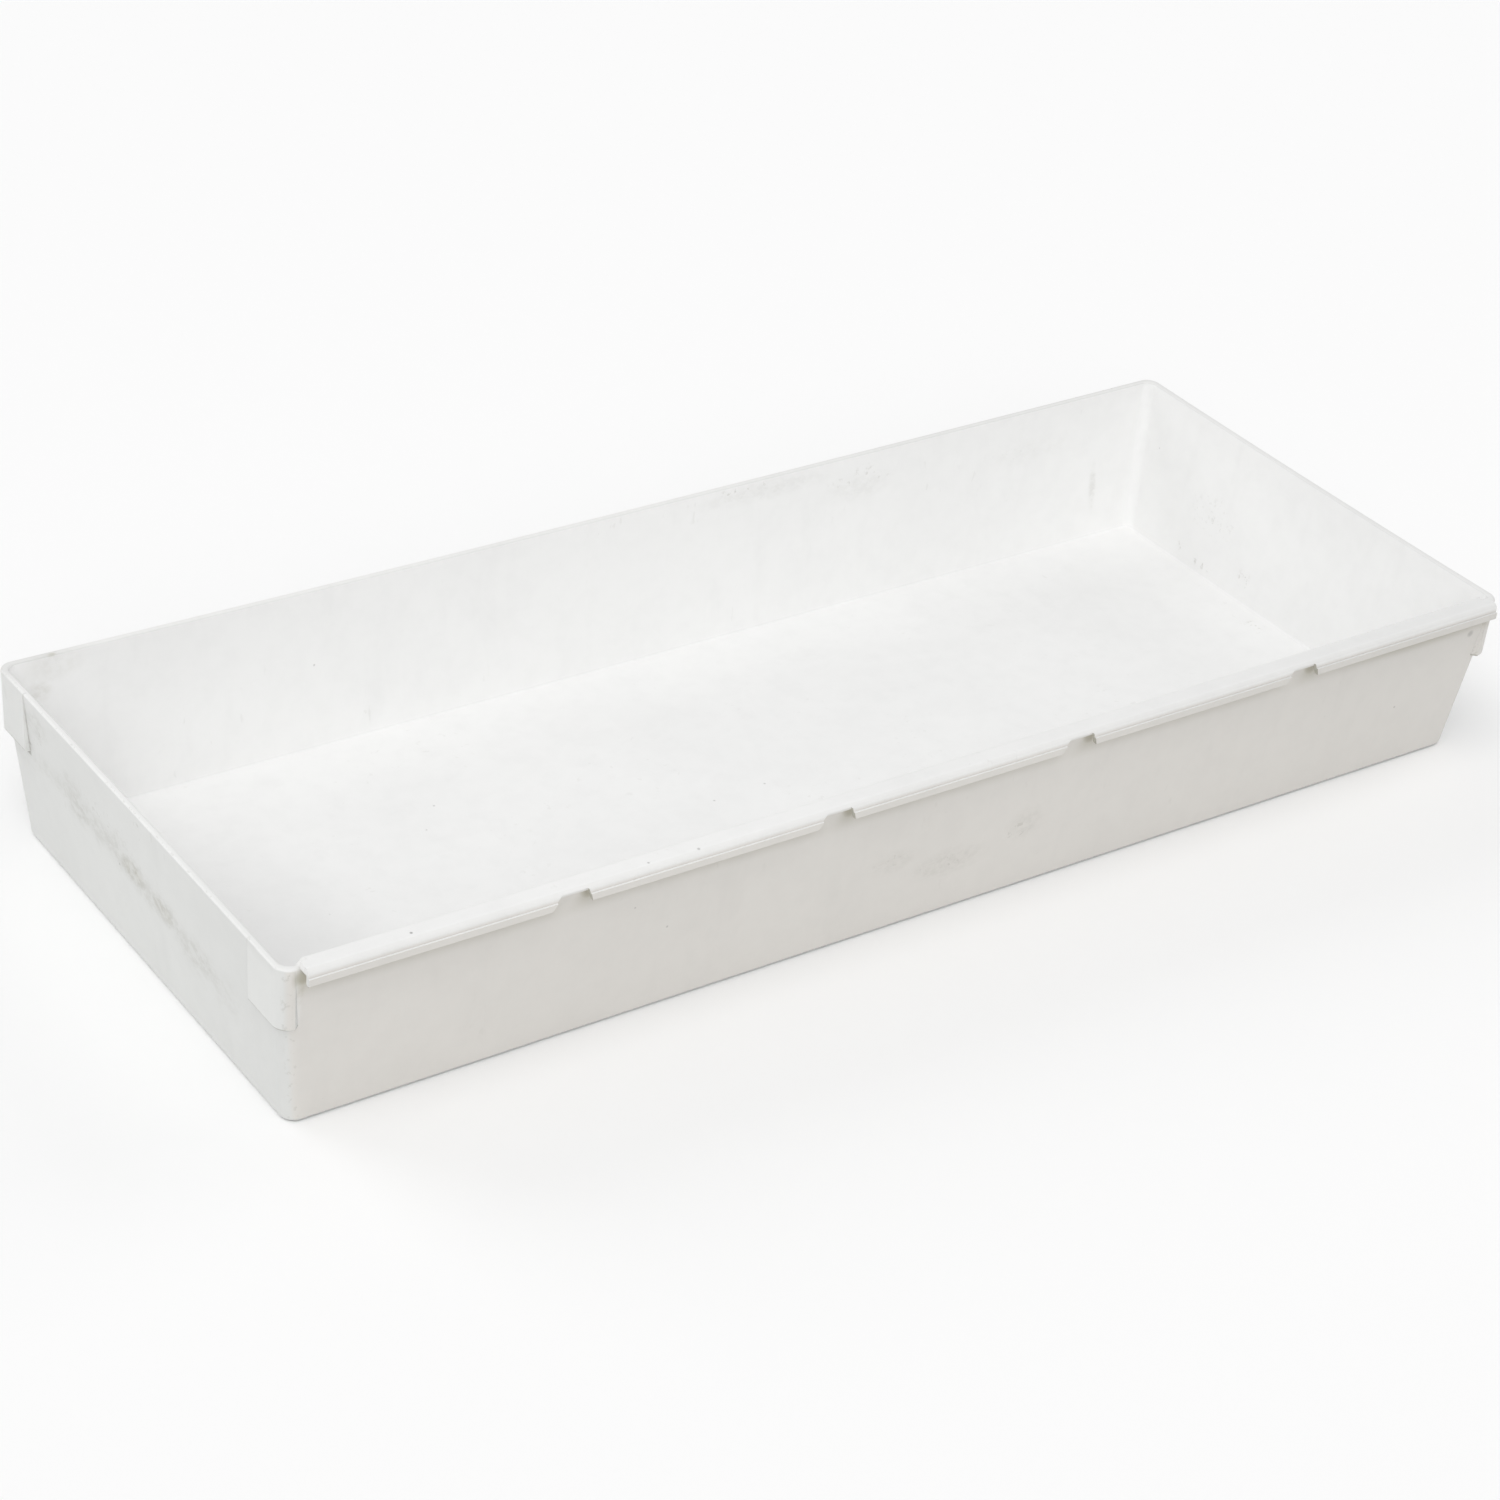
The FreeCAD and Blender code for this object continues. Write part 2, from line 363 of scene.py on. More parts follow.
def shell_section(kind):
    """Closed section through wall and floor edge, as (outward, height, ring radius)."""
    z = BASE_RADIUS
    centre = (wall_out(z) - BASE_RADIUS / math.cos(DRAFT), z)
    base = arc(centre, BASE_RADIUS, -math.pi / 2, -DRAFT, BASE_STEPS)
    rim = outer_rim(kind)
    outside = base + between(base[-1], rim[0], FACE_ROWS) + rim
    inner_round = 0.0 if kind == "lip" else RIM_ROUND
    z = RIM - inner_round
    centre = (wall_out(z) - WALL + inner_round / math.cos(DRAFT), z)
    inner = arc(centre, inner_round, math.pi / 2, math.pi - DRAFT, RIM_STEPS)
    z = FLOOR_TOP + FLOOR_FILLET
    centre = (wall_out(z) - WALL - FLOOR_FILLET / math.cos(DRAFT), z)
    fillet = arc(centre, FLOOR_FILLET, -DRAFT, -math.pi / 2, FILLET_STEPS)
    inside = inner + between(inner[-1], fillet[0], FACE_ROWS) + fillet
    top = between(outside[-1], inside[0], 3)
    section = [(FLOOR_X - HALF_LENGTH, 0.0, 0.0)]
    for out, z in outside:
        section.append((out, z, CORNER_RADIUS + min(0.0, out - wall_out(z))))
    for out, z in top:
        share = out / WALL
        section.append((out, z, CORNER_RADIUS + (CORNER_RADIUS - CORNER_RADIUS_INSIDE) * share))
    for out, z in inside:
        section.append((out, z, CORNER_RADIUS_INSIDE + min(0.0, out - wall_out(z) + WALL)))
    section.append((FLOOR_X - HALF_LENGTH, FLOOR_TOP, 0.0))
    return section


def pad_section():
    """Closed section through a spacer pad, as (outward, height, ring radius)."""
    z = PAD_BOTTOM + PAD_EDGE_ROUND
    centre = (pad_out(z) - PAD_EDGE_ROUND / math.cos(PAD_DRAFT), z)
    foot = arc(centre, PAD_EDGE_ROUND, -math.pi / 2, -PAD_DRAFT, PAD_STEPS)
    head = arc(pad_rim_centre(), RIM_ROUND, -PAD_DRAFT, pad_meeting(), PAD_STEPS)
    section = [(wall_out(PAD_BOTTOM), PAD_BOTTOM)] + foot
    section += between(foot[-1], head[0], PAD_ROWS) + head
    section += between(section[-1], section[0], FACE_ROWS)
    return [(out, z, CORNER_RADIUS) for out, z in section]


def ring_point(side_x, side_y, place, entry):
    """A point of a corner's ring. The place is ('side', t), ('turn', t) or ('end', t), t 0 to 1."""
    run, t = place
    out, z, radius = entry
    radius = max(radius, 0.0)
    half_x, half_y = HALF_LENGTH + out, HALF_WIDTH + out
    if run == "side":
        x, y = CORNER_X + (half_x - radius - CORNER_X) * t, half_y
    elif run == "turn":
        angle = math.pi / 2 * (1 - t)
        x = half_x - radius + radius * math.cos(angle)
        y = half_y - radius + radius * math.sin(angle)
    else:
        x, y = half_x, half_y - radius + (CORNER_Y - half_y + radius) * t
    return side_x * x, side_y * y, z


def corner_places(side_x, side_y):
    """Stations round a corner and what the rim is at each, from the long side to the end wall."""
    turn = [("turn", i / CORNER_STEPS) for i in range(CORNER_STEPS + 1)]
    end = [("end", i / END_STEPS) for i in range(1, END_STEPS + 1)]
    pad = [(place, "pad") for place in turn + end]
    if side_y > 0:
        return [(("side", i / END_STEPS), "pad") for i in range(END_STEPS + 1)] + pad
    reach = HALF_LENGTH - CORNER_RADIUS - CORNER_X
    lip_end = ((LIP_X1 if side_x > 0 else -LIP_X0) - CORNER_X) / reach
    # the rim changes where the lip ends, between two stations a hair apart
    lip = [(("side", t), "lip") for t in (0, 0.2, 0.4, 0.6, lip_end - HAIR)]
    return lip + [(("side", lip_end + HAIR), "open")] + pad


def build_corner(name, side_x, side_y):
    sections = []
    for place, kind in corner_places(side_x, side_y):
        sections.append([ring_point(side_x, side_y, place, entry) for entry in shell_section(kind)])
    points, faces = sweep(sections)
    finish_piece(name + "_shell", make_mesh(name, points, faces), name)


def build_pad(name, side_x, side_y):
    sections = []
    for place, kind in corner_places(side_x, side_y):
        if kind == "pad":
            sections.append([ring_point(side_x, side_y, place, entry) for entry in pad_section()])
    points, faces = sweep(sections)
    finish_piece(name + "_block", make_mesh(name, points, faces), name)


def build_wall(name, axis, side, kind):
    """A straight wall along X (axis 0) or Y (axis 1), on the side given by its sign."""
    reach = CORNER_X if axis == 0 else CORNER_Y
    half = HALF_WIDTH if axis == 0 else HALF_LENGTH
    steps = round(reach / STATION)
    sections = []
    for i in range(steps + 1):
        along = -reach + 2 * reach * i / steps
        across = [(side * (half + out), z) for out, z, _ in shell_section(kind)]
        sections.append([(along, a, z) if axis == 0 else (a, along, z) for a, z in across])
    points, faces = sweep(sections)
    finish_piece(name + "_shell", make_mesh(name, points, faces), name)


def build_floor():
    """The floor's flat middle, with the two gates' dishes underneath."""
    rows, columns = 12, 30
    across = [-FLOOR_Y + 2 * FLOOR_Y * i / rows for i in range(rows + 1)]
    loop = [(y, 0.0) for y in across] + [(y, FLOOR_TOP) for y in reversed(across)]
    along = [-FLOOR_X + 2 * FLOOR_X * i / columns for i in range(columns + 1)]
    slab = make_mesh("slab", *sweep([[(x, y, z) for y, z in loop] for x in along]))
    bevel = 0.15
    stub = GATE_DEPTH - GATE_STUB_HEIGHT
    dish = [(0, -GATE_DEPTH), (GATE_RADIUS, -GATE_DEPTH), (GATE_RADIUS, GATE_DEPTH - bevel),
            (GATE_RADIUS - bevel, GATE_DEPTH), (GATE_STUB_RADIUS, GATE_DEPTH),
            (GATE_STUB_RADIUS, stub + bevel), (GATE_STUB_RADIUS - bevel, stub), (0, stub)]
    cutters = [lathe((x, 0.0), dish, 48) for x in (-GATE_OFFSET, GATE_OFFSET)]
    finish_piece("floor_sheet", cut(slab, cutters), "floor_panel")


# ---- the lip -----------------------------------------------------------------------------------

def lip_section():
    """Closed section through rail and hook, as (outward, height)."""
    edge = LIP_REACH - LIP_LEDGE
    inside = LIP_REACH - LIP_THICKNESS
    r = LIP_INNER_ROUND
    lean = math.tan(DRAFT)
    inner_top = -WALL + lean * (LIP_TOP - r - RIM)
    inner = arc((inner_top + r / math.cos(DRAFT), LIP_TOP - r), r, math.pi - DRAFT, math.pi / 2, 5)
    r = LIP_OUTER_ROUND
    outer = arc((edge - r, LIP_TOP - r), r, math.pi / 2, 0, 8)
    r = LIP_FOOT_ROUND
    nose = arc((LIP_REACH - r / 2, LIP_LEDGE_HEIGHT - r / 2), r / 2, math.pi / 2, 0, 2)
    foot = arc((LIP_REACH - r, HOOK_BOTTOM + r), r, 0, -math.pi / 2, 4)
    heel = arc((inside + r, HOOK_BOTTOM + r), r, -math.pi / 2, -math.pi, 4)
    section = [(-WALL, RIM)] + inner + between(inner[-1], outer[0], 6) + outer
    section += [(edge, RIM), (edge, LIP_LEDGE_HEIGHT)] + nose + foot + heel + [(inside, RIM)]
    return section


def gap_cutters():
    """One closed cutter for each gap in the hook, with a long lead-in on its left foot."""
    cutters = []
    foot = 4 * GAP_FOOT_ROUND
    y = -HALF_WIDTH - LIP_REACH
    for right in gap_lines():
        right_top = right - GAP_RIGHT_SLANT
        left_top = right_top - GAP_TOP_WIDTH
        left = left_top - GAP_LEFT_SLANT
        low = HOOK_BOTTOM - SPARE
        sunk = HOOK_BOTTOM - HAIR
        path = rounded_path([(right, HOOK_BOTTOM, 0), (right_top, GAP_TOP, GAP_TOP_ROUND),
                             (left_top, GAP_TOP, GAP_TOP_ROUND), (left, sunk, GAP_FOOT_ROUND),
                             (left - foot, sunk, 0), (left - foot, low, 0), (right, low, 0)])
        cutters.append(prism(path, y - SPARE, y + LIP_THICKNESS))
    return cutters


def ramp_cutters():
    """Wedges that let the rim climb to the lip at its two ends."""
    cutters = []
    for x, way in ((LIP_X0, 1), (LIP_X1, -1)):
        foot = RIM + 5 * HAIR
        top = LIP_TOP + SPARE
        before, head = x - way * SPARE, x + way * LIP_RAMP
        beyond = x + way * (LIP_RAMP + SPARE)
        path = rounded_path([(before, foot, 0), (x, foot, RAMP_FOOT_ROUND),
                             (head, LIP_TOP, RAMP_HEAD_ROUND), (beyond, LIP_TOP, 0),
                             (beyond, top, 0), (before, top, 0)])
        cutters.append(prism(path, -HALF_WIDTH - 2 * HAIR, -HALF_WIDTH + 2 * WALL))
    return cutters


def soften(mesh, width):
    """Rounds the sharp edges of the lip's ends and gaps, but none that another piece meets."""
    bm = bmesh.new()
    bm.from_mesh(mesh)
    bmesh.ops.remove_doubles(bm, verts=bm.verts, dist=WELD_CUTS)
    bmesh.ops.dissolve_degenerate(bm, edges=bm.edges, dist=WELD_CUTS)
    edges = []
    for edge in bm.edges:
        if len(edge.link_faces) != 2 or edge.calc_face_angle() < LIP_SHARP:
            continue
        if all(abs(v.co.z / MM - RIM) < 0.1 for v in edge.verts):
            continue
        edges.append(edge)
    bmesh.ops.bevel(bm, geom=edges, offset=width * MM, segments=2, profile=0.5, affect="EDGES",
                    clamp_overlap=True)
    bmesh.ops.remove_doubles(bm, verts=bm.verts, dist=WELD)
    bm.to_mesh(mesh)
    bm.free()


def split_at(mesh, z, above):
    """The part of a closed mesh above or below a height, closed again."""
    bm = bmesh.new()
    bm.from_mesh(mesh)
    geometry = list(bm.verts) + list(bm.edges) + list(bm.faces)
    bmesh.ops.bisect_plane(bm, geom=geometry, dist=TINY, plane_co=(0, 0, z * MM), plane_no=(0, 0, 1),
                           clear_inner=above, clear_outer=not above)
    flat = [f for f in bm.faces if all(abs(v.co.z - z * MM) < 10 * TINY for v in f.verts)]
    bmesh.ops.delete(bm, geom=flat, context="FACES")
    bmesh.ops.holes_fill(bm, edges=[e for e in bm.edges if e.is_boundary], sides=0)
    bmesh.ops.recalc_face_normals(bm, faces=bm.faces)
    result = bpy.data.meshes.new("part")
    bm.to_mesh(result)
    bm.free()
    return result


def loose_parts(mesh):
    """The separate solids in a mesh, from left to right."""
    bm = bmesh.new()
    bm.from_mesh(mesh)
    left = set(bm.verts)
    groups = []
    while left:
        stack = [left.pop()]
        group = set(stack)
        while stack:
            for edge in stack.pop().link_edges:
                for vertex in edge.verts:
                    if vertex in left:
                        left.discard(vertex)
                        group.add(vertex)
                        stack.append(vertex)
        groups.append(group)
    groups.sort(key=lambda g: min(v.co.x for v in g))
    parts = []
    for group in groups:
        order = {v: i for i, v in enumerate(sorted(group, key=lambda v: v.index))}
        points = [v.co.copy() for v in order]
        faces = [[order[v] for v in f.verts] for f in bm.faces if f.verts[0] in group]
        part = bpy.data.meshes.new("part")
        part.from_pydata(points, [], faces)
        parts.append(part)
    bm.free()
    return parts


def build_lip():
    steps = round((LIP_X1 - LIP_X0) / STATION)
    section = lip_section()
    sections = []
    for i in range(steps + 1):
        x = LIP_X0 + (LIP_X1 - LIP_X0) * i / steps
        sections.append([(x, -HALF_WIDTH - out, z) for out, z in section])
    bar = cut(make_mesh("bar", *sweep(sections)), gap_cutters() + ramp_cutters())
    soften(bar, LIP_EDGE_ROUND)
    finish_piece("lip_rail_strip", split_at(bar, RIM, True), "lip_rail")
    for i, part in enumerate(loose_parts(split_at(bar, RIM, False))):
        finish_piece("lip_hook_strip_%d" % (i + 1), part, "lip_hook_%d" % (i + 1))


# ---- material ----------------------------------------------------------------------------------

# Handling marks on the plastic: (centre, reach along each axis, strength), in millimetres. Each kind
# has one list for the tray's outside faces and one for its inside.
RUBS = {
    "outside": (
        ((-189.6, 54, 42), (4, 8, 6), 0.5),             # beside the back left pad
        ((-188.3, 33, 29.5), (4, 12, 7), 0.75),         # the darker parts of the left end's band
        ((-188.3, 3, 28), (4, 13, 6), 1.0),
        ((-188.1, -12, 26.3), (4, 13, 5.5), 0.95),
        ((-187.9, -31, 23.8), (4, 16, 6), 0.7),
        ((-14, -73.6, 22.5), (10, 4, 5), 0.35),         # middle of the front wall
        ((5, -73, 16.5), (15, 4, 6), 0.5),
        ((29, -73.2, 22), (7, 4, 8), 0.4),
    ),
    "inside": (
        ((45, 74, 44.5), (32, 4, 4), 0.3),              # along the top of the back wall
        ((79, 73.5, 38), (16, 4, 6), 0.25),
        ((143, 73, 35.5), (24, 4, 6), 0.12),
        ((168.3, 71.5, 18), (1.8, 5, 11), 0.5),
    ),
}
GRIT = {
    "outside": (
        ((-14, -73.6, 23.5), (10, 4, 4), 0.8),          # small spots in the middle of the front wall
        ((3, -72.8, 16.5), (13, 4, 4), 1.0),
        ((27, -73.2, 20), (7, 4, 5), 1.0),
        ((-189.8, -3.5, 45), (3, 4, 2.2), 1.0),
        ((-188.8, 20, 33), (4, 30, 8), 0.5),
        ((-189.4, 54, 41), (3, 9, 8), 0.8),
    ),
    "inside": (
        ((38, 74.2, 46.5), (14, 4, 2), 1.0),            # back wall
        ((80, 73.6, 41), (16, 4, 5), 0.8),
        ((140, 73, 36), (22, 4, 5), 0.3),
        ((184.3, 48, 6.2), (4, 5, 2), 1.0),             # right end wall, near the floor
        ((184.2, 35, 4.8), (3, 8, 1.5), 1.0),
        ((184.5, 17, 8.8), (4, 4, 4), 0.9),
        ((186, 35, 21), (4, 14, 9), 0.5),
        ((178, 3, 1.8), (4, 7, 3), 0.8),
    ),
}
STAINS = {
    "outside": (
        ((-188.3, 3, 28), (4, 8, 4), 0.8),              # the darkest part of the rubbed band
        ((-188.1, -13, 26), (4, 6, 3.5), 0.5),
        ((-184.8, -75.4, 41), (1.4, 4, 5.5), 0.7),      # a dark run below the lip's left end
    ),
    "inside": (
        ((-179.8, 73.4, 39), (4.5, 4, 4), 0.5),         # brownish mark in the back left corner
        ((-176, 74.2, 45), (12, 4, 6), 0.3),
        ((-176, 74.4, 48.4), (2.2, 1.4, 1.2), 1.0),
    ),
}
SPECKS = (                                          # (centre, radius, strength)
    ((-101, 72.1, 26.5), 0.6, 0.6),
    ((181.9, -75.2, 39.1), 1.5, 0.3),
    ((-87.4, 29.7, 1.8), 0.5, 0.3),
    ((-19.2, -2.6, 1.8), 0.5, 0.3),
    ((-2.2, -1.8, 1.8), 0.5, 0.3),
    ((-157.8, -78.2, 50.4), 0.55, 0.6),
    ((-93.7, -79.2, 50.4), 0.5, 0.4),
    ((-79.7, -79.7, 50.4), 0.6, 0.4),
    ((-189.6, -75.6, 41.5), 0.8, 0.2),
    ((-187.2, -74.6, 28), 0.8, 0.3),
    ((-186.6, -74, 22), 0.7, 0.3),
    ((-189, 59.6, 33.5), 0.8, 0.3),
)

INSIDE_COLOUR = (0.945, 0.945, 0.938, 1)
RIM_COLOUR = (0.835, 0.835, 0.825, 1)               # painted shade on the rims, dimming their highlights
BACK_RIM_COLOUR = (0.845, 0.845, 0.830, 1)
# The lip is lighter than the outside as painted light; its outer round is darker where it tilts outward, as
# painted shade dimming its highlight.
LIP_TOP_COLOUR = (0.885, 0.885, 0.877, 1)
LIP_EDGE_COLOUR = (0.845, 0.843, 0.830, 1)
# The outside is a darker, shaded copy of the inside's plastic: painted shade.
OUTSIDE_COLOUR = (0.725, 0.731, 0.715, 1)
FRONT_COLOUR = (0.730, 0.709, 0.673, 1)             # the lip side's outside, warmer; painted shade like the outside
SCUFF_COLOUR = (0.40, 0.39, 0.345, 1)
STAIN_COLOUR = (0.36, 0.33, 0.22, 1)
SPECK_COLOUR = (0.10, 0.095, 0.085, 1)
PAINTED_SHADE_COLOUR = (0.26, 0.235, 0.13, 1)              # painted shade under the lip and in its gaps
# painted shadow lines below and beside the spacer pads
PAD_SHADOW_COLOUR = (0.30, 0.29, 0.25, 1)


class Graph:
    """A short way to add shader nodes: every call returns one output socket of the new node."""

    def __init__(self, tree):
        self.tree = tree

    def node(self, kind, inputs, output=0, **settings):
        made = self.tree.nodes.new(kind)
        for key, value in settings.items():
            setattr(made, key, value)
        for key, value in inputs.items():
            if isinstance(value, bpy.types.NodeSocket):
                self.tree.links.new(value, made.inputs[key])
            else:
                made.inputs[key].default_value = value
        return made.outputs[output]

    def math(self, operation, a, b=0.0):
        return self.node("ShaderNodeMath", {0: a, 1: b}, operation=operation)

    def chain(self, operation, values):
        """One operation carried through several numbers or sockets."""
        total = values[0]
        for value in values[1:]:
            total = self.math(operation, total, value)
        return total

    def plus(self, *values):
        return self.chain("ADD", values)

    def times(self, *values):
        return self.chain("MULTIPLY", values)

    def most(self, *values):
        return self.chain("MAXIMUM", values)

    def minus(self, a, b):
        return self.math("SUBTRACT", a, b)

    def vector(self, operation, a, b, output=0):
        return self.node("ShaderNodeVectorMath", {0: a, 1: b}, output, operation=operation)

    def axes(self, vector):
        """The X, Y and Z of a vector."""
        split = self.node("ShaderNodeSeparateXYZ", {0: vector}).node
        return split.outputs["X"], split.outputs["Y"], split.outputs["Z"]

    def fade(self, value, start, stop, low=0.0, high=1.0):
        """Smoothly from low at start to high at stop."""
        inputs = {"Value": value, "From Min": start, "From Max": stop, "To Min": low, "To Max": high}
        return self.node("ShaderNodeMapRange", inputs, interpolation_type="SMOOTHSTEP")

    def near(self, value, centre, far, close):
        """From 0 where the value is far from the centre to 1 where it is close."""
        return self.fade(self.math("ABSOLUTE", self.minus(value, centre)), far, close)

    def noise(self, place, scale, detail, roughness=0.55, stretch=(1, 1, 1), distortion=0.0):
        """Noise with features of about 1 / scale millimetres, squeezed along the stretch axes."""
        where = self.vector("MULTIPLY", place, stretch)
        inputs = {"Vector": where, "Scale": scale, "Detail": detail, "Roughness": roughness}
        inputs["Distortion"] = distortion
        return self.node("ShaderNodeTexNoise", inputs)

    def mix(self, factor, a, b):
        return self.node("ShaderNodeMix", {0: factor, 6: a, 7: b}, 2, data_type="RGBA")

    def shade(self, colour, factor):
        """A colour multiplied by a number."""
        shaded = self.mix(1.0, colour, factor)
        shaded.node.blend_type = "MULTIPLY"
        return shaded


class Plastic(Graph):
    """The tray's plastic: where each point of it is, and one method for each effect on its look."""

    def __init__(self, tree):
        super().__init__(tree)
        coordinates = tree.nodes.new("ShaderNodeTexCoord")
        self.place = self.vector("SCALE", coordinates.outputs["Object"], (0, 0, 0))
        self.place.node.inputs["Scale"].default_value = 1 / MM
        self.x, self.y, self.z = self.axes(self.place)
        self.normal_x, self.normal_y, self.normal_z = self.axes(coordinates.outputs["Normal"])
        self.depth = self.node("ShaderNodeAttribute", {}, 2, attribute_name="wall_depth")
        self.outside = self.most(self.fade(self.depth, -1.25, -0.75), self.fade(self.z, 1.6, 1.3))
        self.on_rim = self.times(self.fade(self.normal_z, 0.15, 0.45), self.fade(self.z, 47.5, 47.9))
        self.spots = self.noise(self.place, 0.62, 3, 0.6)

    def blot(self, centre, reach, strength):
        """A soft ellipsoid of the given strength round a point."""
        offset = self.vector("DIVIDE", self.vector("SUBTRACT", self.place, centre), reach)
        distance = self.vector("LENGTH", offset, (0, 0, 0), "Value")
        return self.fade(distance, 1.0, 0.25, 0.0, strength)

    def blots(self, marks):
        return self.most(*[self.blot(*mark) for mark in marks])

    def both_sides(self, marks):
        """The outside blots on the tray's outside and the inside blots on its inside."""
        outer = self.times(self.blots(marks["outside"]), self.outside)
        inner = self.times(self.blots(marks["inside"]), self.minus(1.0, self.outside))
        return self.most(outer, inner)

    def plastic_and_painted_light(self):
        """Lightest inside, with the outside a darker copy as painted shade, warmer on the lip's side but
        for a strip by its left pad painted lighter, and rims darkened as painted shade.
        """
        near_front = self.fade(self.y, -60, -66)
        facing_front = self.fade(self.normal_y, -0.7, -0.97)
        right_corner = self.times(self.fade(self.x, 180, 184), self.fade(self.normal_y, -0.1, -0.4))
        warm_front = self.times(self.most(facing_front, right_corner), near_front)
        outer = self.mix(warm_front, OUTSIDE_COLOUR, FRONT_COLOUR)
        # painted light: a strip of wall beside the front left pad is lighter, against the pad's shadow
        # there
        painted_light_by_pad = self.times(self.fade(self.x, -183.6, -185.6), facing_front, near_front)
        painted_light_by_pad = self.times(painted_light_by_pad, self.fade(self.z, PAD_BOTTOM - 1, PAD_BOTTOM + 1))
        painted_light_by_pad = self.times(painted_light_by_pad, self.fade(self.depth, 0.1, -0.1), 0.85)
        outer = self.mix(painted_light_by_pad, outer, INSIDE_COLOUR)
        # painted shade: the outside faces take the darker copy of the plastic
        colour = self.mix(self.outside, INSIDE_COLOUR, outer)
        # painted shade on the rims, dimming their highlights
        rim = self.mix(self.fade(self.y, 72, 74), RIM_COLOUR, BACK_RIM_COLOUR)
        colour = self.mix(self.on_rim, colour, rim)
        # the lip lighter above, as painted light, and darker where its outer round tilts outward, as
        # painted shade dimming its highlight
        lip = self.mix(self.fade(self.normal_z, 0.88, 0.99), LIP_EDGE_COLOUR, LIP_TOP_COLOUR)
        return self.mix(self.fade(self.z, 47.9, 49.3), colour, lip)

    def darkening_and_painted_shade(self):
        """How much each place is darkened: painted shade towards the right end, on the pads and on the
        floor, and darker rims and hooks' fronts.
        """
        # painted shade: darker towards the right end, more so on the outside
        all_over = self.fade(self.x, -40, HALF_LENGTH, 0.0, 0.018)
        on_outside = self.times(self.outside, self.fade(self.x, -40, HALF_LENGTH, 0.0, 0.035))
        left_rim = self.blot((-187, 76, RIM), (28, 12, 6), 0.09)
        on_rims = self.times(self.on_rim, self.plus(self.fade(self.x, -150, 120, 0.0, 0.05), left_rim))
        on_hooks = self.times(self.fade(self.depth, 4.0, 4.3), self.fade(self.x, -60, 180, 0.03, 0.06))
        # painted shade on the floor and its fillet, dimming the fillet's highlight, and a painted shadow on
        # the floor's front left
        on_floor = self.fade(self.z, FLOOR_TOP + 3.0, FLOOR_TOP + 0.9)
        on_floor = self.times(on_floor, self.fade(self.normal_z, 0.15, 0.5))
        floor_shade = self.plus(0.076, self.blot((-160, -20, FLOOR_TOP), (45, 85, 6), 0.10))
        return self.plus(all_over, on_outside, on_rims, self.pad_painted_shade(), on_hooks,
                         self.times(on_floor, floor_shade))

    def pad_painted_shade(self):
        """Painted shade and light on the pads: their fronts a little darker and their ends a little lighter
        than the walls.
        """
        on_pad = self.times(self.fade(self.depth, 0.05, 0.3), self.fade(self.depth, 2.2, 1.8))
        front = self.times(self.fade(self.normal_y, -0.05, -0.5), self.fade(self.x, -180, 180, 0.03, 0.01))
        back_pads = self.times(self.fade(self.normal_y, -0.9, -0.98), self.fade(self.y, 0, 50, 0.0, 0.12))
        end = self.times(self.fade(self.normal_x, -0.5, -0.9), self.fade(self.y, -55, 55, -0.06, -0.015))
        return self.times(on_pad, self.plus(self.minus(front, back_pads), end))

    def clouds(self):
        """Cloudiness, a film of fine grime and upright drag marks, as one factor."""
        cloud = self.fade(self.noise(self.place, 0.014, 3), 0.3, 0.7, 0.98, 1.01)
        grain = self.fade(self.noise(self.place, 0.16, 6, 0.65), 0.35, 0.7, 1.004, 0.985)
        drag = self.fade(self.noise(self.place, 0.11, 4, 0.6, (1, 1, 0.22)), 0.5, 0.78, 1.0, 0.978)
        return self.times(cloud, grain, drag)

    def strokes(self):
        """Short faint strokes, mostly upright, as from things dragged in and out."""
        strokes = self.noise(self.place, 0.42, 2, 0.5, (1, 1, 0.4), 0.4)
        region = self.fade(self.noise(self.place, 0.03, 2), 0.5, 0.62)
        return self.times(self.fade(strokes, 0.66, 0.74, 0.0, 0.10), region)

    def left_band(self):
        """The rubbed band along the left end wall, which drops towards the front."""
        wander = self.fade(self.noise(self.place, 0.06, 2), 0.3, 0.7, -2.5, 2.5)
        middle = self.plus(self.fade(self.y, -50, 20, 21.5, 30.5), wander)
        band = self.times(self.near(self.z, middle, 7.0, 0.5), self.outside)
        band = self.times(band, self.fade(self.x, -185.0, -186.5, 0.0, 0.62))
        return self.times(band, self.fade(self.y, -62, -30), self.fade(self.y, 78, 15, 0.35, 1.0))

    def scuffs(self):
        """Rubbed patches broken up by noise, patches of small spots, and worn upright edges."""
        breakup = self.noise(self.place, 0.45, 5, 0.7, (0.7, 0.7, 1))
        breakup = self.fade(breakup, 0.40, 0.62, 0.10, 0.42)
        rubs = self.times(self.most(self.both_sides(RUBS), self.left_band()), breakup)
        grit = self.times(self.both_sides(GRIT), self.fade(self.spots, 0.55, 0.68, 0.0, 0.36))
        turned = self.math("ABSOLUTE", self.normal_x)
        on_edge = self.times(self.fade(turned, 0.1, 0.3), self.fade(turned, 0.85, 0.65), self.outside)
        edge_wear = self.times(on_edge, self.fade(self.spots, 0.56, 0.66, 0.0, 0.25))
        return self.most(rubs, grit, edge_wear)

    def stains(self):
        spread = self.fade(self.noise(self.place, 0.45, 4, 0.6), 0.35, 0.62, 0.10, 0.32)
        return self.times(self.both_sides(STAINS), spread)

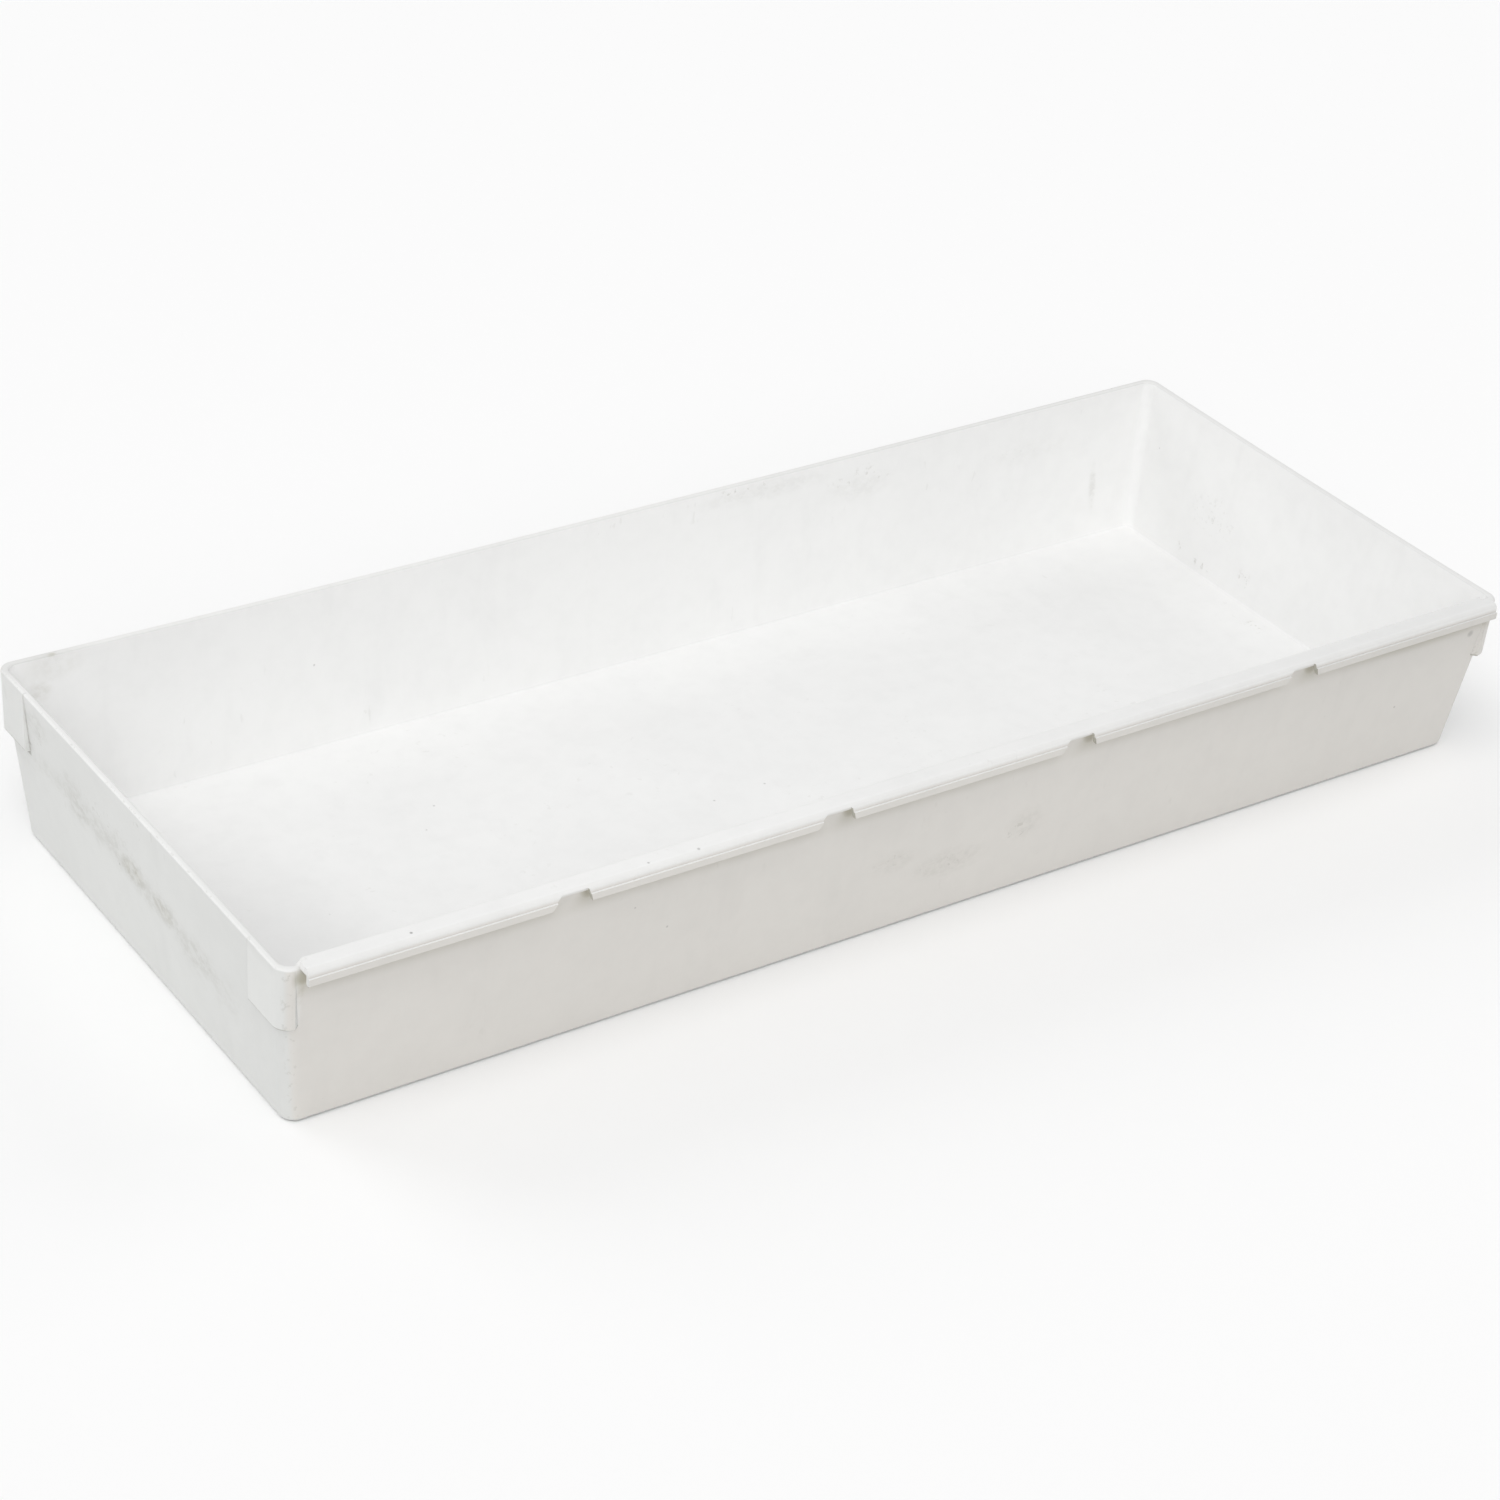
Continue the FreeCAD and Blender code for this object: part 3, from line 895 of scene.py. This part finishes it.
    def lip_painted_shade(self):
        """Painted shade under the lip: on the wall, the rail's underside and the back of the hook."""
        covered = self.times(self.fade(self.depth, -0.9, -0.5), self.fade(self.depth, 3.95, 3.6),
                             self.fade(self.z, 48.75, 48.5), self.fade(self.y, -72, -73))
        along_lip = self.times(self.fade(self.x, LIP_X0 - 1.0, LIP_X0 + 0.5),
                               self.fade(self.x, LIP_X1 + 1.5, LIP_X1 - 0.5))
        gaps = [((right - 4.2, -HALF_WIDTH, 46.0), (6.5, 12, 9), 0.85) for right in gap_lines()]
        away_from_gaps = self.minus(along_lip, self.blots(gaps))
        # painted shade on the wall below the lip, lighter in the gaps, darkest in the hollows at the gaps'
        # right corners
        below_lip = self.fade(self.z, 38, 46, 0.0, 0.45)
        below_lip = self.times(below_lip, self.fade(self.z, 46.5, 43.5, 0.2, 1.0))
        corners = [right + 2.0 for right in gap_lines()] + [LIP_X0 + 1.2]
        hollows = [((corner, -HALF_WIDTH, 45.4), (3.6, 4, 4.0), 0.6) for corner in corners]
        hollows.append(((162, -HALF_WIDTH, 44), (60, 6, 5.5), 0.45))
        return self.times(covered, self.most(self.times(below_lip, away_from_gaps), self.blots(hollows)))

    def gap_end_painted_shade(self):
        """Painted shade on the hooks' ends that face left in the lip's gaps."""
        facing_left = self.times(self.fade(self.normal_x, -0.5, -0.85), self.fade(self.depth, 0.6, 1.2))
        past_first_end = self.fade(self.x, LIP_X0 + 5, LIP_X0 + 6)
        on_lip = self.times(past_first_end, self.fade(self.x, LIP_X1 + 1.5, LIP_X1 + 0.5))
        height = self.fade(self.z, 49.8, 49.2, 0.0, 0.5)
        return self.times(facing_left, on_lip, height, self.fade(self.y, -70, -73))

    def pad_painted_shadows(self):
        """Painted shadow lines below each spacer pad and beside its ends."""
        out_x = self.math("ABSOLUTE", self.x)
        out_y = self.math("ABSOLUTE", self.y)
        below = self.times(self.near(self.z, PAD_BOTTOM - 0.55, 1.15, 0.75),
                           self.fade(out_x, CORNER_X - 0.3, CORNER_X + 0.1),
                           self.fade(out_y, CORNER_Y - 0.3, CORNER_Y + 0.1),
                           self.fade(self.normal_y, -0.95, -0.7))
        on_end = self.near(out_y, CORNER_Y - 0.2, 0.5, 0.1)
        on_end = self.times(on_end, self.fade(out_x, CORNER_X, CORNER_X + 1))
        on_back = self.times(self.near(out_x, CORNER_X - 0.2, 0.5, 0.1), self.fade(self.y, 60, 61))
        beside = self.times(self.most(on_end, on_back), self.fade(self.depth, 0.35, 0.05))
        beside = self.times(beside, self.fade(self.z, PAD_BOTTOM - 0.2, PAD_BOTTOM + 0.4))
        beside = self.times(beside, self.fade(self.z, RIM - 1, 38, 0.2, 0.6))
        broken = self.fade(self.spots, 0.35, 0.6, 0.4, 0.7)
        return self.times(self.most(below, beside), self.outside, broken)

    def specks(self):
        """Single dark specks, and a scatter of tiny ones."""
        placed = self.blots([(centre, (radius,) * 3, strength) for centre, radius, strength in SPECKS])
        cells = self.node("ShaderNodeTexVoronoi", {"Vector": self.place, "Scale": 0.075, "Randomness": 1.0})
        chosen = self.node("ShaderNodeSeparateColor", {0: cells.node.outputs["Color"]})
        scatter = self.times(self.fade(cells, 0.035, 0.015, 0.0, 0.3), self.fade(chosen, 0.72, 0.76))
        return self.most(placed, scatter)

    def scratches(self):
        """Fine scratches in three directions."""
        lines = []
        for turn, scale in ((0.35, 1.6), (-0.8, 1.3), (1.9, 1.9)):
            inputs = {"Vector": self.place, "Axis": (0.3, 0.2, 1), "Angle": turn}
            spun = self.node("ShaderNodeVectorRotate", inputs)
            lines.append(self.fade(self.noise(spun, scale, 2, 0.5, (0.05, 1, 1)), 0.68, 0.76))
        return self.most(*lines)

    def roughness(self, scuffs, scratches):
        """Satin with clouds in it, rougher where it is rubbed and glossier in the scratches."""
        clouds = self.fade(self.noise(self.place, 0.05, 4), 0.3, 0.7, 0.40, 0.50)
        return self.minus(self.plus(clouds, self.times(scuffs, 0.4)), self.times(scratches, 0.05))

    def bump(self, scratches):
        """A moulded surface: slow waviness, fine texture, and the scratches."""
        waves = self.times(self.noise(self.place, 0.08, 2), 0.9)
        texture = self.times(self.noise(self.place, 1.4, 3), 0.05)
        height = self.minus(self.plus(waves, texture), self.times(scratches, 0.04))
        return self.node("ShaderNodeBump", {"Height": height, "Strength": 0.35, "Distance": 0.00012})


def make_plastic():
    """Satin off-white plastic with mottling, painted shade on its outside, rims and recesses, rubs and
    specks.
    """
    material = bpy.data.materials.new("white_plastic_look")
    material.use_nodes = True
    tree = material.node_tree
    shader = tree.nodes["Principled BSDF"]
    plastic = Plastic(tree)
    scuffs = plastic.scuffs()
    scratches = plastic.scratches()
    colour = plastic.shade(plastic.plastic_and_painted_light(), plastic.minus(1.0, plastic.darkening_and_painted_shade()))
    colour = plastic.shade(colour, plastic.clouds())
    layers = ((plastic.strokes(), SCUFF_COLOUR), (scuffs, SCUFF_COLOUR), (plastic.stains(), STAIN_COLOUR),
              (plastic.lip_painted_shade(), PAINTED_SHADE_COLOUR), (plastic.gap_end_painted_shade(), PAINTED_SHADE_COLOUR),
              (plastic.pad_painted_shadows(), PAD_SHADOW_COLOUR), (plastic.specks(), SPECK_COLOUR))
    for amount, dirt in layers:
        colour = plastic.mix(amount, colour, dirt)
    tree.links.new(colour, shader.inputs["Base Color"])
    tree.links.new(plastic.roughness(scuffs, scratches), shader.inputs["Roughness"])
    tree.links.new(plastic.bump(scratches), shader.inputs["Normal"])
    shader.inputs["IOR"].default_value = 1.49
    return material


# ---- stage, light and camera -------------------------------------------------------------------

def make_stage():
    mesh = bpy.data.meshes.new("floor")
    size = 6.0
    corners = [(-size, -size, 0), (size, -size, 0), (size, size, 0), (-size, size, 0)]
    mesh.from_pydata(corners, [], [(0, 1, 2, 3)])
    floor = bpy.data.objects.new("studio_floor", mesh)
    bpy.context.collection.objects.link(floor)
    floor.location.z = -0.0002
    material = bpy.data.materials.new("studio_floor")
    material.use_nodes = True
    shader = material.node_tree.nodes["Principled BSDF"]
    shader.inputs["Base Color"].default_value = (0.95, 0.95, 0.95, 1)
    shader.inputs["Roughness"].default_value = 0.9
    mesh.materials.append(material)


def toward(azimuth, elevation):
    """Unit vector from the object to a viewer; azimuth 0 is the -Y side and 90 the +X side, degrees."""
    a, e = math.radians(azimuth), math.radians(elevation)
    return Vector((math.sin(a) * math.cos(e), -math.cos(a) * math.cos(e), math.sin(e)))


def make_camera():
    back = toward(-36.15, 31.97)
    roll = math.radians(4.81)
    target = Vector((-29.26, -7.07, 20.0)) * MM
    distance = 962.54 * MM
    data = bpy.data.cameras.new("camera")
    data.sensor_width = 36.0
    data.lens = 87.519
    data.shift_x = 0.03519
    data.shift_y = 0.00689
    camera = bpy.data.objects.new("camera", data)
    bpy.context.collection.objects.link(camera)
    camera.location = target + back * distance
    camera.rotation_mode = "QUATERNION"
    camera.rotation_quaternion = (-back).to_track_quat("-Z", "Y") @ Quaternion((0, 0, 1), roll)
    bpy.context.scene.camera = camera


def make_light():
    """An even pale surround and five large soft lamps: (azimuth, elevation, strength)."""
    world = bpy.data.worlds.new("studio")
    bpy.context.scene.world = world
    world.use_nodes = True
    background = world.node_tree.nodes["Background"]
    background.inputs["Color"].default_value = (1, 1, 1, 1)
    background.inputs["Strength"].default_value = 0.5
    lamps = ((0, 62, 0.23), (300, 62, 0.80), (90, 33, 0.32), (210, 33, 0.50), (330, 33, 0.52))
    for azimuth, elevation, strength in lamps:
        data = bpy.data.lights.new("lamp_%d" % azimuth, "SUN")
        data.energy = strength
        data.angle = math.radians(35)
        lamp = bpy.data.objects.new(data.name, data)
        bpy.context.collection.objects.link(lamp)
        lamp.rotation_mode = "QUATERNION"
        lamp.rotation_quaternion = toward(azimuth, elevation).to_track_quat("Z", "Y")


scene = bpy.context.scene
scene.view_settings.view_transform = "Standard"
plastic = make_plastic()
make_camera()
make_light()
make_stage()

build_floor()
build_wall("front_wall", 0, -1, "lip")
build_wall("back_wall", 0, 1, "open")
build_wall("left_end_wall", 1, -1, "open")
build_wall("right_end_wall", 1, 1, "open")
for side_y, depth_name in ((-1, "front"), (1, "back")):
    for side_x, hand in ((-1, "left"), (1, "right")):
        build_corner("%s_%s_corner" % (depth_name, hand), side_x, side_y)
        build_pad("%s_%s_spacer_pad" % (depth_name, hand), side_x, side_y)
build_lip()
